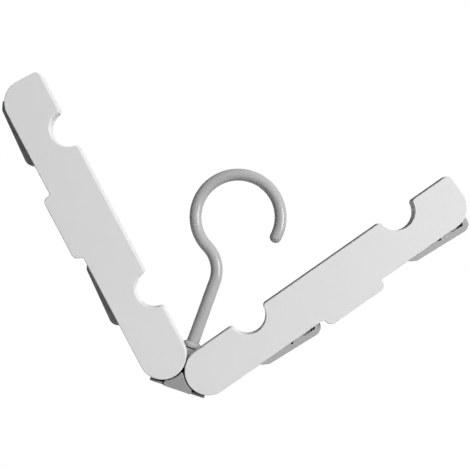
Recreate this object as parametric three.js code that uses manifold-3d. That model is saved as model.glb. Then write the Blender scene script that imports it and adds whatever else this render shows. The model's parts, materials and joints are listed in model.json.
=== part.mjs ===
// Folding travel hanger: two hollow arms with built-in pegs, hinged on a hub under a swivel hook.
// Millimetres. It is drawn upright, x to the right, y up and z towards the viewer, about the point midway
// between the two arm pivots, and turned at the end so that +Z is up and the front faces -Y.
// The origin is the inside top of the hook, where it sits on a rail.

import * as THREE from 'three';
import { mergeVertices } from 'three/addons/utils/BufferGeometryUtils.js';
import Module from 'manifold-3d';

const wasm = await Module();
wasm.setup();

// Clearances, and the smallest rounding of a corner
const fitGap = 0.3;
const armEndGap = 0.3;
const leastRound = 0.12;

// Arm angles from upright, as the hanger stands half folded
const leftArmAngle = THREE.MathUtils.degToRad(46.7);
const rightArmAngle = THREE.MathUtils.degToRad(36.3);

// Arm outline, along the arm from its pivot and across it from its centre line
const armHalfWidth = 14.3;
const armReach = 186.5;
const armThickness = 12;
const armWall = 2;
const armEdgeRound = 0.6;
const tipTopRadius = 3;
const tipLowerRadius = 14.2;
const swellStart = 75;
const swellLength = 41.9;
const swellDepth = 5.4;
const swellFoot = 1.2;
const swellCorner = 4.1;
const notchRadius = 11.2;
const notchDepth = 11.4;
const notchLip = 2.4;
const innerNotchFromPivot = 38.3;
const outerNotchFromTip = 39;

// Peg levers, measured from the pin each one rocks on
const pegJawLength = 21.9;
const pegHandleLength = 22.1;
const pegJawDepth = 5.3;
const pegHandleTop = 1;
const pegBellyDepth = 9.9;
const pegBellySlope = THREE.MathUtils.degToRad(3.3);
const pegCorner = 6;
const pegJawRake = 4.4;
const pegJawLip = 0.9;
const pegJawCorner = 3;
const pegTopCorner = 1.5;
const pegBossWall = 0.9;
const pegSwing = THREE.MathUtils.degToRad(12);
const pegEndRoom = 1.1;
const innerPegFromPivot = 49.8;
const outerPegFromTip = 27.7;
const leftPegInset = 6.7;
const rightPegInset = 5.4;
const pegWindowStart = 9;
const pegWindowLength = 9;
const pegWindowTop = 2.9;
const pegWindowBottom = 6.8;
const pegWindowCorner = 1.2;
const pegDimpleRadius = 1.3;
const pegDimpleOffset = 1.2;
const pegDimpleDrop = 5.6;
const pegFaceSetback = 1.5;
const pegRecess = 3.2;
const pocketRib = 1.6;
const jawSeat = 2;

// Peg pins and springs
const pegPinRadius = 1.25;
const pegPinSocket = 1;
const springWire = 0.6;
const springTurns = 3;
const springTurnGap = 0.45;
const springLeg = 10;

// Arm pivots
const pivotPinRadius = 2.5;
const pivotPinDepth = 7;
const pivotHeadRadius = 4.8;
const pivotHeadHeight = 2;
const pivotBossWall = 3.5;
const washerThickness = 0.8;

// Hub
const hubEarRadius = 7.8;
const hubEarDrop = 4;
const hubWall = 2;
const hubFrontWall = 2.4;
const hubCoverThickness = 1.7;
const hubCoverRound = 0.8;
const hubCornerRound = 1;
const flangeThickness = 1.4;
const flangeGap = 0.9;
const flangeOverhang = 2.8;
const flangeSetback = 2.5;
const webGap = 0.8;
const webTopHalfWidth = 0.8;
const webFootHalfWidth = 8.7;
const webSetback = 0.4;

// Hook
const collarRadius = 5.7;
const collarHeight = 3.2;
const collarLip = 1.2;
const collarCrease = 0.5;
const collarGap = 0.7;
const collarBackGap = 0.8;
const shankRadius = 3.9;
const hookRadius = 3.7;
const shankStep = 0.1;
const shankLean = THREE.MathUtils.degToRad(1.1);
const bendRadius = 21;
const loopRadius = 26.4;
const loopHeight = 93.9;
const loopOffset = 0.05;
const hookTipTurn = THREE.MathUtils.degToRad(8);
const spigotRadius = 2.2;
const spigotTail = 1.6;
const grooveDepth = 0.7;
const socketRadius = 4.4;
const socketLength = 4.6;
const clipThickness = 1;
const clipRim = 1.4;
const clipMouth = THREE.MathUtils.degToRad(80);

// Screws
const screwRadius = 1.1;
const screwHeadRadius = 2.5;
const screwHeadHeight = 1.1;
const screwBossRadius = 3;
const screwSlotWidth = 0.7;
const screwSlotDepth = 0.5;
const screwTipRoom = 1;
const hubEndScrewFromPivot = 16;
const tipScrewFromTip = 14;
const tipScrewRise = 7;
const hubScrewTopInset = 3.5;
const hubScrewFootInset = 6;

// Facet counts, and how near corners are to be merged
const arcStep = THREE.MathUtils.degToRad(20);
const roundSides = 16;
const screwSides = 10;
const hookSides = 12;
const hookSteps = 44;
const wireSides = 5;
const coilSteps = 8;
const domeSteps = 3;
const bevelSteps = 2;
const weldReach = 1e-4;

// Sizes that follow from the ones above
const overlap = 1;
const far = 60;
const pivotX = armHalfWidth + armEndGap;
const armSeam = armWall + fitGap;
const armFloor = armThickness - armWall;
const ribFront = armFloor + armWall / 2;
const outerNotchFromPivot = armReach - outerNotchFromTip;
const outerPegFromPivot = armReach - outerPegFromTip;
const pegBack = armWall + fitGap;
const pegFront = armFloor - fitGap;
const pegFace = pegFront - pegFaceSetback;
const springRadius = pegPinRadius + fitGap + springWire / 2;
const springRoom = springRadius + springWire / 2 + fitGap;
const pegBossRadius = springRoom + pegBossWall;
const pegFaceTop = pegBossRadius + fitGap;
const pocketRise = pegHandleLength * Math.sin(pegSwing) + pegHandleTop * Math.cos(pegSwing) + fitGap;
const armScrewLength = armFloor - screwTipRoom;
const washerFront = -fitGap - hubFrontWall - fitGap;
const pivotHeadFront = washerFront - washerThickness - fitGap;
const pivotBossRadius = pivotPinRadius + fitGap + pivotBossWall;
const flangeHalfWidth = pivotX + flangeOverhang;
const hubDrop = armHalfWidth + flangeGap + flangeThickness;
const hubFrontReach = fitGap + armThickness;
const clipRadius = spigotRadius + clipRim;
const hookBehind = Math.max(collarRadius + collarBackGap, hubFrontWall + fitGap + clipRadius);
const hubDepth = hookBehind + socketRadius + fitGap;
const hubBack = hubDepth + fitGap + hubCoverThickness;
const hubScrewLength = hubBack - hubFrontWall - screwTipRoom;
const socketFoot = hubEarRadius - socketLength;
const clipTop = socketFoot - fitGap;
const clipFoot = clipTop - clipThickness;
const collarFoot = hubEarRadius + collarGap;
const collarTop = collarFoot + collarHeight;
const loopRise = loopHeight - collarTop;
const seatAside = loopOffset * Math.cos(shankLean) + loopRise * Math.sin(shankLean);
const loopMiddle = collarTop + loopRise * Math.cos(shankLean) - loopOffset * Math.sin(shankLean);
const seatHeight = loopMiddle + loopRadius - hookRadius;

// Solids from closed surfaces, with shared corners merged and flattened triangles dropped.
function solid(geometry) {
  const bare = geometry.clone();
  bare.deleteAttribute('normal');
  bare.deleteAttribute('uv');
  const welded = mergeVertices(bare, weldReach);
  const corners = welded.index.array;
  const kept = [];
  for (let i = 0; i < corners.length; i += 3) {
    const [a, b, c] = corners.slice(i, i + 3);
    if (a !== b && b !== c && c !== a) kept.push(a, b, c);
  }
  const mesh = new wasm.Mesh({
    numProp: 3,
    vertProperties: new Float32Array(welded.attributes.position.array),
    triVerts: new Uint32Array(kept),
  });
  return new wasm.Manifold(mesh);
}

function surface(body) {
  const mesh = body.getMesh();
  const geometry = new THREE.BufferGeometry();
  geometry.setAttribute('position', new THREE.BufferAttribute(new Float32Array(mesh.vertProperties), 3));
  geometry.setIndex(new THREE.BufferAttribute(new Uint32Array(mesh.triVerts), 1));
  geometry.computeVertexNormals();
  return geometry;
}

// The same surface with front and back exchanged.
function turnedOver(geometry) {
  const flipped = geometry.clone().scale(1, 1, -1);
  const corners = flipped.index.array;
  for (let i = 0; i < corners.length; i += 3) {
    [corners[i], corners[i + 1]] = [corners[i + 1], corners[i]];
  }
  flipped.computeVertexNormals();
  return flipped;
}

function joined(bodies) {
  return bodies.reduce((whole, body) => whole.add(body));
}

function cutBy(body, cutters) {
  return cutters.reduce((rest, cutter) => rest.subtract(cutter), body);
}

// Points of an arc, both ends included.
function arc(x, y, radius, from, to) {
  const steps = Math.max(2, Math.round(Math.abs(to - from) / arcStep));
  return Array.from({ length: steps + 1 }, (_, i) => {
    const angle = from + ((to - from) * i) / steps;
    return [x + radius * Math.cos(angle), y + radius * Math.sin(angle)];
  });
}

// Outline through corners [x, y, radius], each corner rounded by an arc of its own radius.
function outline(corners) {
  const points = [];
  corners.forEach(([x, y, radius = 0], i) => {
    const corner = new THREE.Vector2(x, y);
    if (radius <= 0) {
      points.push(corner);
      return;
    }
    const [lastX, lastY] = corners.at(i - 1);
    const [nextX, nextY] = corners.at((i + 1) % corners.length);
    const before = new THREE.Vector2(lastX, lastY).sub(corner).normalize();
    const after = new THREE.Vector2(nextX, nextY).sub(corner).normalize();
    const half = Math.acos(before.dot(after)) / 2;
    const middle = before.clone().add(after).setLength(radius / Math.sin(half)).add(corner);
    const start = corner.clone().addScaledVector(before, radius / Math.tan(half)).sub(middle);
    const turn = Math.sign(after.cross(before)) * (Math.PI - 2 * half);
    const from = start.angle();
    const bend = arc(middle.x, middle.y, radius, from, from + turn);
    points.push(...bend.map(([bendX, bendY]) => new THREE.Vector2(bendX, bendY)));
  });
  return points;
}

function slab(points, from, to) {
  const depth = to - from;
  const geometry = new THREE.ExtrudeGeometry(new THREE.Shape(points), { depth, bevelEnabled: false });
  return solid(geometry.translate(0, 0, from));
}

// A slab whose edge is rounded over at its front face.
function softSlab(points, from, to, round) {
  const geometry = new THREE.ExtrudeGeometry(new THREE.Shape(points), {
    depth: to - from - round,
    bevelThickness: round,
    bevelSize: round,
    bevelOffset: -round,
    bevelSegments: bevelSteps,
  });
  const whole = solid(geometry.translate(0, 0, from));
  const behind = new THREE.BoxGeometry(2 * armReach + far, 2 * armReach + far, far);
  return whole.subtract(solid(behind.translate(0, 0, from - far / 2)));
}

function box(from, to) {
  const low = new THREE.Vector3(...from);
  const size = new THREE.Vector3(...to).sub(low);
  const block = new THREE.BoxGeometry(size.x, size.y, size.z);
  return solid(block.translate(low.x + size.x / 2, low.y + size.y / 2, low.z + size.z / 2));
}

// A round bar along z, or a round body from a profile of [radius, z] that starts and ends on the axis.
function turned(x, y, profile, sides = roundSides) {
  const points = profile.map(([radius, height]) => new THREE.Vector2(radius, height));
  return solid(new THREE.LatheGeometry(points, sides).rotateX(Math.PI / 2).translate(x, y, 0));
}

function rod(x, y, radius, from, to, sides = roundSides) {
  return turned(x, y, [[0, from], [radius, from], [radius, to], [0, to]], sides);
}

// A tube of round section along a curve.
function tube(curve, radius, sides, steps) {
  const section = Array.from({ length: sides }, (_, i) => {
    const angle = (2 * Math.PI * i) / sides;
    return new THREE.Vector2(radius * Math.cos(angle), radius * Math.sin(angle));
  });
  return new THREE.ExtrudeGeometry(new THREE.Shape(section), { steps, extrudePath: curve });
}

// A slotted screw, the top of its head at z = 0 and its shank running to the front.
function screw(x, y, length) {
  const profile = [[0, 0], [screwHeadRadius, 0], [screwHeadRadius, screwHeadHeight]];
  profile.push([screwRadius, screwHeadHeight], [screwRadius, length], [0, length]);
  const slotReach = screwHeadRadius + overlap;
  const slotHalf = screwSlotWidth / 2;
  const slot = box([x - slotReach, y - slotHalf, -overlap], [x + slotReach, y + slotHalf, screwSlotDepth]);
  return turned(x, y, profile, screwSides).subtract(slot);
}

// The sunk hole for such a screw, its head's top at z = `back`, and the clearance hole beyond it.
function screwHole(x, y, length, back = 0) {
  const from = back - overlap;
  const sunk = rod(x, y, screwHeadRadius + fitGap, from, back + screwHeadHeight + fitGap, screwSides);
  return sunk.add(rod(x, y, screwRadius + fitGap, from, back + length + fitGap, screwSides));
}

function plastic(color, roughness) {
  return new THREE.MeshStandardMaterial({ color, roughness, metalness: 0 });
}

function whitePlastic() {
  return plastic(0xe4e4e4, 0.45);
}

function greyPlastic() {
  return plastic(0x9c9c9c, 0.5);
}

function nylon() {
  return plastic(0xd8d8d2, 0.5);
}

function steel() {
  return new THREE.MeshStandardMaterial({ color: 0xb8bcc0, roughness: 0.3, metalness: 1 });
}

function piece(name, geometry, material) {
  const mesh = new THREE.Mesh(geometry, material);
  mesh.name = name;
  return mesh;
}

// A half-round notch in the upper edge, from its tip side to its hub side, with rounded lips.
function notchPoints(at, inset) {
  const edge = armHalfWidth - inset;
  const middle = armHalfWidth - notchDepth + notchRadius;
  const radius = notchRadius + inset;
  const lip = Math.max(notchLip - inset, leastRound);
  const lipRise = edge - lip - middle;
  const lipAside = Math.sqrt((radius + lip) ** 2 - lipRise ** 2);
  const meet = Math.atan2(lipRise, lipAside);
  const tipLip = arc(at + lipAside, edge - lip, lip, Math.PI / 2, Math.PI + meet);
  const bowl = arc(at, middle, radius, meet, -Math.PI - meet);
  const hubLip = arc(at - lipAside, edge - lip, lip, -meet, Math.PI / 2);
  return [...tipLip, ...bowl.slice(1, -1), ...hubLip];
}

// Arm outline, drawn in by `inset` all round.
function armOutline(inset = 0) {
  const edge = armHalfWidth - inset;
  const tip = armReach - inset;
  const belly = -edge - swellDepth;
  const foot = swellFoot + inset;
  const corner = Math.max(Math.min(swellCorner, swellDepth - swellFoot - leastRound) - inset, leastRound);
  const hubSide = swellStart + inset;
  const tipSide = swellStart + swellLength - inset;
  return outline([
    [-edge, -edge, edge],
    [hubSide, -edge, foot],
    [hubSide, belly, corner],
    [tipSide, belly, corner],
    [tipSide, -edge, foot],
    [tip, -edge, Math.max(tipLowerRadius - inset, leastRound)],
    [tip, edge, Math.max(tipTopRadius - inset, leastRound)],
    ...notchPoints(outerNotchFromPivot, inset),
    ...notchPoints(innerNotchFromPivot, inset),
    [-edge, edge, edge],
  ]);
}

// Where the two pegs of an arm are pinned, and which way their handles point along the arm.
function pegSpots(arm) {
  const across = arm.pegInset - armHalfWidth;
  return [innerPegFromPivot, outerPegFromPivot].map((along) => ({ along, across, way: arm.handleWay }));
}

function armScrewSpots() {
  return [
    [hubEndScrewFromPivot, 0],
    [swellStart + swellLength / 2, 0],
    [armReach - tipScrewFromTip, tipScrewRise],
  ];
}

// The slot that a peg rocks in: shallow over the jaw, deep over the pin and the handle.
function pegPocket(peg) {
  const seat = peg.across - pegJawDepth + fitGap;
  const roof = peg.across + pocketRise;
  const jaw = -pegJawLength - fitGap;
  const boss = -pegBossRadius - fitGap;
  const handle = pegHandleLength + pegEndRoom;
  const points = [[jaw, -far], [jaw, seat], [boss, seat], [boss, roof], [handle, roof], [handle, -far]];
  return slab(outline(points.map(([s, v]) => [peg.along + peg.way * s, v])), armWall, armFloor);
}

// The ribs round that slot, and the bar that the jaw bites against.
function pegFrame(peg) {
  const seat = peg.across - pegJawDepth + fitGap + jawSeat;
  const roof = peg.across + pocketRise + pocketRib;
  const jaw = -pegJawLength - fitGap - pocketRib;
  const boss = -pegBossRadius - fitGap - pocketRib;
  const handle = pegHandleLength + pegEndRoom + pocketRib;
  const points = [[jaw, -far], [jaw, seat], [boss, seat], [boss, roof], [handle, roof], [handle, -far]];
  return slab(outline(points.map(([s, v]) => [peg.along + peg.way * s, v])), armSeam, ribFront);
}

function armFrontShell(arm) {
  const pegs = pegSpots(arm);
  const tray = softSlab(armOutline(), armSeam, armThickness, armEdgeRound);
  const hollow = slab(armOutline(armWall), armSeam - overlap, armFloor);
  const bosses = armScrewSpots().map(([u, v]) => rod(u, v, screwBossRadius, armSeam, ribFront));
  const pivotBoss = rod(0, 0, pivotBossRadius, armSeam, ribFront);
  const inside = slab(armOutline(armWall / 2), armSeam - overlap, armThickness - armWall / 4);
  const ribs = joined([pivotBoss, ...bosses, ...pegs.map(pegFrame)]).intersect(inside);
  return cutBy(tray.subtract(hollow).add(ribs), [
    ...pegs.map(pegPocket),
    ...pegs.map((peg) => {
      return rod(peg.along, peg.across, pegPinRadius + fitGap, armSeam, armFloor + pegPinSocket);
    }),
    ...armScrewSpots().map(([u, v]) => screwHole(u, v, armScrewLength)),
    rod(0, 0, pivotPinRadius + fitGap, 0, pivotPinDepth + fitGap),
  ]);
}

function armBackShell(arm) {
  const plate = slab(armOutline(), 0, armWall);
  return cutBy(plate, [
    ...pegSpots(arm).map((peg) => {
      return rod(peg.along, peg.across, pegPinRadius + fitGap, armWall - pegPinSocket, armSeam);
    }),
    ...armScrewSpots().map(([u, v]) => screwHole(u, v, armScrewLength)),
    rod(0, 0, pivotPinRadius + fitGap, -overlap, armSeam),
  ]);
}

// The pin an arm turns on: its head lies behind the hub's front wall, its shank is fast in the arm.
function pivotPin() {
  const back = pivotHeadFront - pivotHeadHeight;
  const profile = [[0, back], [pivotHeadRadius, back], [pivotHeadRadius, pivotHeadFront]];
  profile.push([pivotPinRadius, pivotHeadFront], [pivotPinRadius, pivotPinDepth], [0, pivotPinDepth]);
  const wide = screwSlotWidth / 2;
  const slot = box(
    [-pivotHeadRadius - overlap, -wide, back - overlap],
    [pivotHeadRadius + overlap, wide, back + screwSlotDepth],
  );
  return turned(0, 0, profile).subtract(slot);
}

function pivotWasher() {
  const back = washerFront - washerThickness;
  const disc = rod(0, 0, pivotHeadRadius, back, washerFront);
  return disc.subtract(rod(0, 0, pivotPinRadius + fitGap, back - overlap, washerFront + overlap));
}

// Peg lever, about its pin: s runs to the handle, t up into the arm, z to the front.
// The face that the finger finds lies behind the boss, and the jaw's end is raked.
function pegBelly(s) {
  return -pegBellyDepth - s * Math.tan(pegBellySlope);
}

function pegLever() {
  const rakeFoot = pegJawRake - pegJawLength;
  const blank = slab(
    outline([
      [rakeFoot, pegBelly(rakeFoot), pegJawCorner],
      [pegHandleLength, pegBelly(pegHandleLength), pegCorner],
      [pegHandleLength, pegHandleTop, pegTopCorner],
      [0, pegHandleTop],
      [0, -pegJawDepth],
      [-pegJawLength, -pegJawDepth],
      [-pegJawLength, -pegJawDepth - pegJawLip],
    ]),
    pegBack,
    pegFront,
  );
  const heel = slab(
    outline([
      [-pegBossRadius, -pegJawDepth - overlap],
      [0, -pegJawDepth - overlap],
      [0, pegBossRadius],
      [-pegBossRadius, pegBossRadius, pegBossRadius - leastRound],
    ]),
    pegBack,
    pegFront,
  );
  const boss = rod(0, 0, pegBossRadius, pegBack, pegFront);
  const spring = springCurve();
  const slotHalf = spring.width / 2 + fitGap;
  const middle = (pegBack + pegFront) / 2;
  const coilRoom = rod(0, 0, springRoom, middle - slotHalf, middle + slotHalf);
  const legRoom = box([0, -springRoom, middle - slotHalf], [springLeg + overlap, far, middle + slotHalf]);
  const coilMouth = box([-springRoom, 0, middle - slotHalf], [springRoom, far, middle + slotHalf]);
  const windowEnd = pegWindowStart + pegWindowLength;
  const windowCut = slab(
    outline([
      [pegWindowStart, -pegWindowBottom, pegWindowCorner],
      [windowEnd, -pegWindowBottom, pegWindowCorner],
      [windowEnd, -pegWindowTop, pegWindowCorner],
      [pegWindowStart, -pegWindowTop, pegWindowCorner],
    ]),
    pegFace - pegRecess,
    pegFront + overlap,
  );
  const faceCut = box(
    [-pegJawLength - overlap, -far, pegFace],
    [pegHandleLength + overlap, -pegFaceTop, pegFront + overlap],
  );
  return cutBy(joined([blank, heel, boss]), [
    coilRoom,
    legRoom,
    coilMouth,
    rod(0, 0, pegPinRadius + fitGap, pegBack - overlap, pegFront + overlap),
    faceCut,
    windowCut,
    rod(pegDimpleOffset, -pegDimpleDrop, pegDimpleRadius, pegFace - pegRecess, pegFront + overlap),
  ]);
}

// Torsion spring: the lower leg lies on the lever, the upper one against the roof of the pocket.
function springCurve() {
  const end = new THREE.Vector2(springLeg, pocketRise - fitGap - springWire / 2);
  const lean = end.angle() - Math.asin(springRadius / end.length());
  const turn = springTurns * 2 * Math.PI - Math.PI - lean;
  const pitch = springWire + springTurnGap;
  const half = (turn / (2 * Math.PI)) * (pitch / 2);
  const steps = Math.round((turn / (2 * Math.PI)) * coilSteps);
  const points = [new THREE.Vector3(springLeg, -springRadius, -half)];
  points.push(new THREE.Vector3(springLeg / 2, -springRadius, -half));
  for (let i = 0; i <= steps; i += 1) {
    const angle = -Math.PI / 2 - (turn * i) / steps;
    const z = -half + (2 * half * i) / steps;
    points.push(new THREE.Vector3(springRadius * Math.cos(angle), springRadius * Math.sin(angle), z));
  }
  const last = points.at(-1);
  points.push(new THREE.Vector3((last.x + end.x) / 2, (last.y + end.y) / 2, half));
  points.push(new THREE.Vector3(end.x, end.y, half));
  const curve = new THREE.CatmullRomCurve3(points, false, 'centripetal');
  return { curve, width: 2 * half + springWire };
}

function pegSpring() {
  const { curve } = springCurve();
  const stepLength = (2 * Math.PI * springRadius) / coilSteps;
  const steps = Math.round(curve.getLength() / stepLength);
  const middle = (pegBack + pegFront) / 2;
  return tube(curve, springWire / 2, wireSides, steps).translate(0, 0, middle);
}

// Nearest approach of the wire to itself, over stretches at least half a turn apart.
function leastSpringGap() {
  const { curve } = springCurve();
  const samples = 300;
  const points = curve.getSpacedPoints(samples);
  const apart = Math.ceil((Math.PI * springRadius) / (curve.getLength() / samples));
  let least = Infinity;
  for (let i = 0; i + apart <= samples; i += 1) {
    for (let j = i + apart; j <= samples; j += 1) {
      least = Math.min(least, points[i].distanceTo(points[j]));
    }
  }
  return least - springWire;
}

// The steel pin a peg rocks on, its ends sunk in the two shells.
function pegPin() {
  const from = armWall - pegPinSocket + fitGap;
  return rod(0, 0, pegPinRadius, from, armFloor + pegPinSocket - fitGap);
}

// One arm with its two pegs, in a group that turns about the arm's pivot.
function armGroup(arm) {
  const group = new THREE.Group();
  const facing = (geometry) => (arm.handed < 0 ? turnedOver(geometry) : geometry);
  group.add(piece(`${arm.name}_arm_front_shell`, facing(surface(armFrontShell(arm))), whitePlastic()));
  group.add(piece(`${arm.name}_arm_back_shell`, facing(surface(armBackShell(arm))), whitePlastic()));
  armScrewSpots().forEach(([u, v], i) => {
    const place = ['hub_end', 'middle', 'tip'][i];
    const fastener = facing(surface(screw(u, v, armScrewLength)));
    group.add(piece(`${arm.name}_arm_${place}_screw`, fastener, steel()));
  });
  group.add(piece(`${arm.name}_pivot_pin`, facing(surface(pivotPin())), steel()));
  group.add(piece(`${arm.name}_pivot_washer`, facing(surface(pivotWasher())), nylon()));
  pegSpots(arm).forEach((peg, i) => {
    const name = `${arm.name}_${['inner', 'outer'][i]}_peg`;
    const place = new THREE.Group();
    place.position.set(peg.along, peg.across, 0);
    place.rotation.y = arm.handed < 0 ? Math.PI : 0;
    place.add(piece(`${name}_lever`, surface(pegLever()), greyPlastic()));
    place.add(piece(`${name}_pin`, surface(pegPin()), steel()));
    place.add(piece(`${name}_spring`, pegSpring(), steel()));
    group.add(place);
  });
  group.position.set(arm.handed * pivotX, 0, fitGap);
  group.rotation.set(0, arm.handed < 0 ? Math.PI : 0, arm.handed * (Math.PI / 2 - arm.angle), 'ZYX');
  return group;
}

// Hub outline, drawn in by `inset` all round: round ears about the pivots over a narrower foot.
function hubOutline(inset = 0) {
  const ear = hubEarRadius - inset;
  const side = pivotX + ear;
  const foot = -hubDrop + inset;
  const footHalf = flangeHalfWidth - inset;
  return outline([
    [-footHalf, foot, hubCornerRound],
    [footHalf, foot, hubCornerRound],
    [side, -hubEarDrop, ear / 2],
    [side, ear, ear],
    [-side, ear, ear],
    [-side, -hubEarDrop, ear / 2],
  ]);
}

function hubScrewSpots() {
  const aside = (socketRadius + pivotX - pivotHeadRadius) / 2;
  const top = hubEarRadius - hubScrewTopInset;
  const foot = -hubDrop + hubScrewFootInset;
  return [[aside, top], [-aside, top], [aside, foot], [-aside, foot]];
}

function hubScrewHoles() {
  return hubScrewSpots().map(([x, y]) => screwHole(x, y, hubScrewLength, -hubBack));
}

// The raised web between the two round arm ends.
function webOutline() {
  const radius = armHalfWidth + webGap;
  const top = Math.PI + Math.asin(Math.sqrt(radius ** 2 - (pivotX - webTopHalfWidth) ** 2) / radius);
  const foot = 2 * Math.PI - Math.acos((webFootHalfWidth - pivotX) / radius);
  const right = arc(pivotX, 0, radius, foot, top);
  const left = right.map(([x, y]) => [-x, y]).reverse();
  return outline([[-webFootHalfWidth, -hubDrop], [webFootHalfWidth, -hubDrop], ...right, ...left]);
}

function hubBody() {
  const shell = slab(hubOutline(), -hubDepth, 0);
  const hollow = slab(hubOutline(hubWall), -hubDepth - overlap, -hubFrontWall);
  const flangeTop = -hubDrop + flangeThickness;
  const flangeRound = flangeThickness / 2 - leastRound;
  const flange = slab(
    outline([
      [-flangeHalfWidth, -hubDrop, flangeRound],
      [flangeHalfWidth, -hubDrop, flangeRound],
      [flangeHalfWidth, flangeTop, flangeRound],
      [-flangeHalfWidth, flangeTop, flangeRound],
    ]),
    -hubFrontWall / 2,
    hubFrontReach - flangeSetback,
  );
  const web = slab(webOutline(), -hubFrontWall / 2, hubFrontReach - webSetback);
  const socket = upright(socketRadius, socketFoot, hubEarRadius - hubWall / 2);
  const bosses = hubScrewSpots().map(([x, y]) => rod(x, y, screwBossRadius, -hubDepth, -hubFrontWall / 2));
  const room = slab(hubOutline(hubWall / 2), -hubDepth, -hubFrontWall / 2);
  const inner = joined([socket, ...bosses]).intersect(room);
  return cutBy(joined([shell.subtract(hollow), flange, web, inner]), [
    upright(spigotRadius + fitGap, socketFoot - overlap, hubEarRadius + overlap),
    ...[pivotX, -pivotX].map((x) => rod(x, 0, pivotPinRadius + fitGap, -hubFrontWall - overlap, overlap)),
    ...hubScrewHoles(),
  ]);
}

function hubBackCover() {
  const plate = softSlab(hubOutline(), 0, hubCoverThickness, hubCoverRound);
  const inPlace = solid(turnedOver(surface(plate)).translate(0, 0, -hubDepth - fitGap));
  return cutBy(inPlace, hubScrewHoles());
}

// A round bar along the hook's axis.
function upright(radius, from, to) {
  const bar = new THREE.CylinderGeometry(radius, radius, to - from, roundSides);
  return solid(bar.translate(0, (from + to) / 2, -hookBehind));
}

// The same surface tilted to the right about the top of the collar.
function leaned(geometry) {
  return geometry.translate(0, -collarTop, 0).rotateZ(-shankLean).translate(0, collarTop, 0);
}

// A round body along the hook's axis, from a profile of [radius, height] that starts and ends on the axis.
function stem(profile) {
  const points = profile.map(([radius, height]) => new THREE.Vector2(radius, height));
  return new THREE.LatheGeometry(points, roundSides).translate(0, 0, -hookBehind);
}

// The upright end of the hook: a grooved spigot under a domed collar.
function hookFoot() {
  const spigotFoot = clipFoot - fitGap - spigotTail;
  const grooveRadius = spigotRadius - grooveDepth;
  const domeTop = shankRadius - collarCrease;
  const domeReach = collarRadius - domeTop;
  const domeRise = collarHeight - collarLip;
  const dome = Array.from({ length: domeSteps }, (_, i) => {
    const angle = ((i + 1) / domeSteps) * (Math.PI / 2);
    return [domeTop + domeReach * Math.cos(angle), collarFoot + collarLip + domeRise * Math.sin(angle)];
  });
  return stem([
    [0, spigotFoot],
    [spigotRadius, spigotFoot],
    [spigotRadius, clipFoot - fitGap],
    [grooveRadius, clipFoot - fitGap],
    [grooveRadius, clipTop + fitGap],
    [spigotRadius, clipTop + fitGap],
    [spigotRadius, collarFoot],
    [collarRadius, collarFoot],
    [collarRadius, collarFoot + collarLip],
    ...dome,
    [0, collarTop],
  ]);
}

// Hook: the tapering shank leans a little, and runs by an S-bend into the loop.
function hook() {
  const across = loopOffset + bendRadius;
  const rise = Math.sqrt((loopRadius + bendRadius) ** 2 - across ** 2);
  const bendStart = loopHeight - rise;
  const meet = Math.atan2(rise, across);
  const bend = arc(-bendRadius, bendStart, bendRadius, 0, meet);
  const loop = arc(loopOffset, loopHeight, loopRadius, Math.PI + meet, -hookTipTurn);
  const path = [[0, collarTop], [0, (collarTop + bendStart) / 2], ...bend, ...loop.slice(1)];
  const points = path.map(([x, y]) => new THREE.Vector3(x, y, -hookBehind));
  const rail = new THREE.CatmullRomCurve3(points, false, 'centripetal');
  const rodBody = tube(rail, hookRadius, hookSides, hookSteps);
  const tip = points.at(-1);
  const end = new THREE.SphereGeometry(hookRadius, hookSides, hookSides / 2).translate(tip.x, tip.y, tip.z);
  const shankFoot = collarFoot + collarLip;
  const shankTop = hookRadius + shankStep;
  const shank = stem([[0, shankFoot], [shankRadius, shankFoot], [shankTop, bendStart], [0, bendStart]]);
  return joined([solid(hookFoot()), ...[shank, rodBody, end].map((form) => solid(leaned(form)))]);
}

// Open ring that snaps into the spigot's groove under the socket.
function hookRetainingClip() {
  const inner = spigotRadius - grooveDepth + fitGap;
  const outside = arc(0, 0, clipRadius, clipMouth / 2, 2 * Math.PI - clipMouth / 2);
  const inside = arc(0, 0, inner, 2 * Math.PI - clipMouth / 2, clipMouth / 2);
  const points = outline([...outside, ...inside]);
  const ring = new THREE.Shape(points);
  const geometry = new THREE.ExtrudeGeometry(ring, { depth: clipThickness, bevelEnabled: false });
  return geometry.rotateX(Math.PI / 2).translate(0, clipTop, -hookBehind);
}

const arms = [
  { name: 'left', handed: -1, angle: leftArmAngle, handleWay: -1, pegInset: leftPegInset },
  { name: 'right', handed: 1, angle: rightArmAngle, handleWay: 1, pegInset: rightPegInset },
];

const upper = new THREE.Group();
upper.add(piece('hub_body', surface(hubBody()), greyPlastic()));
upper.add(piece('hub_back_cover', surface(hubBackCover()), greyPlastic()));
hubScrewSpots().forEach(([x, y], i) => {
  const place = ['upper_right', 'upper_left', 'lower_right', 'lower_left'][i];
  const fastener = surface(screw(x, y, hubScrewLength)).translate(0, 0, -hubBack);
  upper.add(piece(`hub_${place}_screw`, fastener, steel()));
});
upper.add(piece('hook', surface(hook()), greyPlastic()));
upper.add(piece('hook_retaining_clip', hookRetainingClip(), steel()));
arms.forEach((arm) => upper.add(armGroup(arm)));
upper.position.set(-seatAside, -seatHeight, hookBehind);

const hanger = new THREE.Group();
hanger.add(upper);
hanger.rotation.x = Math.PI / 2;

console.log(`seat ${seatAside.toFixed(3)} aside, ${seatHeight.toFixed(3)} above the pivots`);
console.log(`least gap of a peg spring to itself: ${leastSpringGap().toFixed(2)} mm`);

export default hanger;
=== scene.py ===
import json
from math import acos, asin, atan2, ceil, cos, degrees, pi, radians, sin, sqrt, tan

import bmesh
import bpy
from mathutils import Matrix, Vector


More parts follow.
